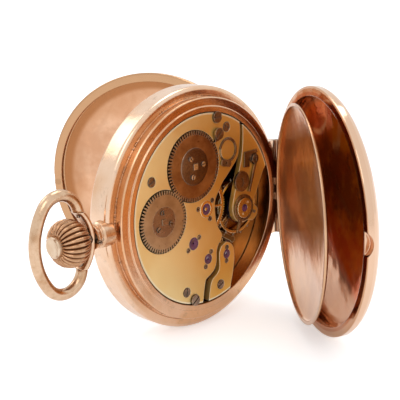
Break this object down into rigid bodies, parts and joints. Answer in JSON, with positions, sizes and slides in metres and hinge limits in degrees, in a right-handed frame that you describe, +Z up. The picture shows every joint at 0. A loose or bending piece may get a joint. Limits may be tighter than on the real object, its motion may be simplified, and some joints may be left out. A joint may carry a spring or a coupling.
{
  "type": "hunter pocket watch",
  "caption": "Open-faced view into a round hinged-cover pocket watch: two outer covers, inner cover, crown, bow and a full geared lever movement.",
  "frame": {"origin": "on the surface the watch stands on, under the middle of its open outline", "axes": "+Z up, toward twelve-o'clock side of the plate's plan; +Y out of the dial, -Y out of the movement's back; +X from the crown at three o'clock to the hinges"},
  "size_m": [0.0718, 0.0984, 0.0534],
  "materials": {
    "case_gold": "polished rose gold",
    "lid_gold": "polished rose gold",
    "gilt": "frosted gilding",
    "steel": "polished steel",
    "winding_steel": "snailed steel",
    "blued_steel": "blued",
    "ruby": "polished ruby",
    "enamel": "fired enamel",
    "crystal": "clear"
  },
  "bodies": {
    "case": {"case_middle": "case_gold", "pendant": "case_gold", "yoke": "case_gold", "pendant_screws": "steel", "hinge_pins": "steel", "case_springs": "steel", "bezel": "case_gold", "crystal": "crystal", "crown_wheel_core": "winding_steel", "crown_core_screws": "steel", "click_spring": "steel", "main_plate": "gilt", "train_bridge": "gilt", "escape_cock": "gilt", "balance_cock": "gilt", "pallet_bridge": "gilt", "bridge_screws": "steel", "jewel_setting": "gilt", "jewels": "ruby", "jewel_screws": "steel", "hairspring": "blued_steel", "hairspring_stud": "steel", "index_spring": "steel", "endpiece": "gilt", "dial": "enamel"},
    "back_cover": {"back_cover": "lid_gold"},
    "cuvette": {"cuvette": "lid_gold"},
    "front_cover": {"front_cover": "lid_gold"},
    "bow": {"bow": "case_gold"},
    "plunger": {"crown_plunger": "steel"},
    "crown": {"crown": "case_gold", "crown_button": "case_gold"},
    "stem": {"stem": "steel", "winding_pinion": "steel", "sliding_pinion": "steel"},
    "crown_wheel": {"crown_wheel": "winding_steel"},
    "ratchet": {"ratchet_wheel": "winding_steel", "ratchet_cap": "winding_steel", "ratchet_cap_screws": "steel", "barrel_arbor": "steel"},
    "click": {"click": "steel"},
    "barrel": {"barrel": "gilt", "mainspring": "blued_steel"},
    "centre": {"centre_wheel": "gilt", "cannon_pinion": "steel", "minute_hand": "blued_steel"},
    "third": {"third_wheel": "gilt"},
    "fourth": {"fourth_wheel": "gilt", "seconds_hand": "blued_steel"},
    "escape": {"escape_wheel": "gilt"},
    "lever": {"pallet_fork": "steel", "pallet_stones": "ruby"},
    "balance": {"balance_wheel": "gilt", "balance_screws": "steel", "balance_staff": "steel"},
    "regulator": {"regulator": "steel"},
    "index_cam": {"index_cam": "steel"},
    "hour": {"hour_wheel": "gilt", "hour_hand": "blued_steel"},
    "minute_wheel": {"minute_wheel": "gilt"}
  },
  "joints": [
    {"name": "back_cover_hinge", "type": "hinge", "parent": "case", "child": "back_cover", "pos_m": [0.0343, -0.00388, 0], "axis": [0, 0, 1], "range_deg": [-59, 31]},
    {"name": "cuvette_hinge", "type": "hinge", "parent": "case", "child": "cuvette", "pos_m": [0.0322, -0.00566, 0], "axis": [0, 0, 1], "range_deg": [-51, 26.8]},
    {"name": "front_cover_hinge", "type": "hinge", "parent": "case", "child": "front_cover", "pos_m": [0.0343, 0.00296, 0], "axis": [0, 0, 1], "range_deg": [-29, 61]},
    {"name": "bow_swivel", "type": "hinge", "parent": "case", "child": "bow", "pos_m": [-0.0238, -0.00166, 0], "axis": [0, 0, 1], "range_deg": [-90, 90]},
    {"name": "crown_press", "type": "slide", "parent": "case", "child": "plunger", "axis": [1, 0, 0], "range_m": [0, 0.0005], "stiffness_N_per_m": 2000, "springref_m": -0.0003},
    {"name": "crown_turn", "type": "hinge", "parent": "plunger", "child": "crown", "pos_m": [-0.0231, -0.00166, 0.0267], "axis": [1, 0, 0], "continuous": true},
    {"name": "stem_turn", "type": "hinge", "parent": "case", "child": "stem", "pos_m": [-0.00458, -0.00166, 0.0267], "axis": [1, 0, 0], "continuous": true},
    {"name": "crown_wheel_turn", "type": "hinge", "parent": "case", "child": "crown_wheel", "pos_m": [-0.00458, -0.00326, 0.0267], "axis": [0, -1, 0], "continuous": true},
    {"name": "ratchet_turn", "type": "hinge", "parent": "case", "child": "ratchet", "pos_m": [0.005, -0.00326, 0.03681], "axis": [0, -1, 0], "continuous": true},
    {"name": "click_pivot", "type": "hinge", "parent": "case", "child": "click", "pos_m": [0.0125, -0.00326, 0.0428], "axis": [0, -1, 0], "range_deg": [-7, 0], "stiffness_Nm_per_rad": 0.0002, "springref_deg": 5.73},
    {"name": "barrel_turn", "type": "hinge", "parent": "case", "child": "barrel", "pos_m": [0.005, -0.00326, 0.03681], "axis": [0, -1, 0], "continuous": true},
    {"name": "minute_turn", "type": "hinge", "parent": "case", "child": "centre", "pos_m": [0.0084, -0.00326, 0.0267], "axis": [0, -1, 0], "continuous": true},
    {"name": "third_turn", "type": "hinge", "parent": "case", "child": "third", "pos_m": [0.0041, -0.00326, 0.01989], "axis": [0, -1, 0], "continuous": true},
    {"name": "seconds_turn", "type": "hinge", "parent": "case", "child": "fourth", "pos_m": [0.0084, -0.00326, 0.01536], "axis": [0, -1, 0], "continuous": true},
    {"name": "escape_turn", "type": "hinge", "parent": "case", "child": "escape", "pos_m": [0.0144, -0.00326, 0.01505], "axis": [0, -1, 0], "continuous": true},
    {"name": "lever_rock", "type": "hinge", "parent": "case", "child": "lever", "pos_m": [0.01653, -0.00326, 0.01855], "axis": [0, -1, 0], "range_deg": [-5, 5]},
    {"name": "balance_swing", "type": "hinge", "parent": "case", "child": "balance", "pos_m": [0.0202, -0.00326, 0.0246], "axis": [0, -1, 0], "range_deg": [-270, 270], "stiffness_Nm_per_rad": 0.000005},
    {"name": "regulator_turn", "type": "hinge", "parent": "case", "child": "regulator", "pos_m": [0.0202, -0.00326, 0.0246], "axis": [0, -1, 0], "range_deg": [-9, 9]},
    {"name": "index_cam_turn", "type": "hinge", "parent": "case", "child": "index_cam", "pos_m": [0.0197, -0.00326, 0.0308], "axis": [0, -1, 0], "range_deg": [-90, 90]},
    {"name": "minute_wheel_turn", "type": "hinge", "parent": "case", "child": "minute_wheel", "pos_m": [0.0117, -0.00326, 0.03], "axis": [0, -1, 0], "continuous": true},
    {"name": "hour_turn", "type": "hinge", "parent": "case", "child": "hour", "pos_m": [0.0084, -0.00326, 0.0267], "axis": [0, -1, 0], "continuous": true}
  ],
  "couplings": [
    {"joint": "cuvette_hinge", "follows": "back_cover_hinge", "ratio": 0.86441},
    {"joint": "stem_turn", "follows": "crown_turn", "ratio": 1},
    {"joint": "crown_wheel_turn", "follows": "crown_turn", "ratio": 0.4},
    {"joint": "ratchet_turn", "follows": "crown_turn", "ratio": -0.34545},
    {"joint": "barrel_turn", "follows": "minute_turn", "ratio": -0.125},
    {"joint": "third_turn", "follows": "minute_turn", "ratio": -8},
    {"joint": "seconds_turn", "follows": "minute_turn", "ratio": 60},
    {"joint": "escape_turn", "follows": "minute_turn", "ratio": -600},
    {"joint": "minute_wheel_turn", "follows": "minute_turn", "ratio": -0.33333},
    {"joint": "hour_turn", "follows": "minute_turn", "ratio": 0.083333},
    {"joint": "regulator_turn", "follows": "index_cam_turn", "ratio": 0.1}
  ]
}
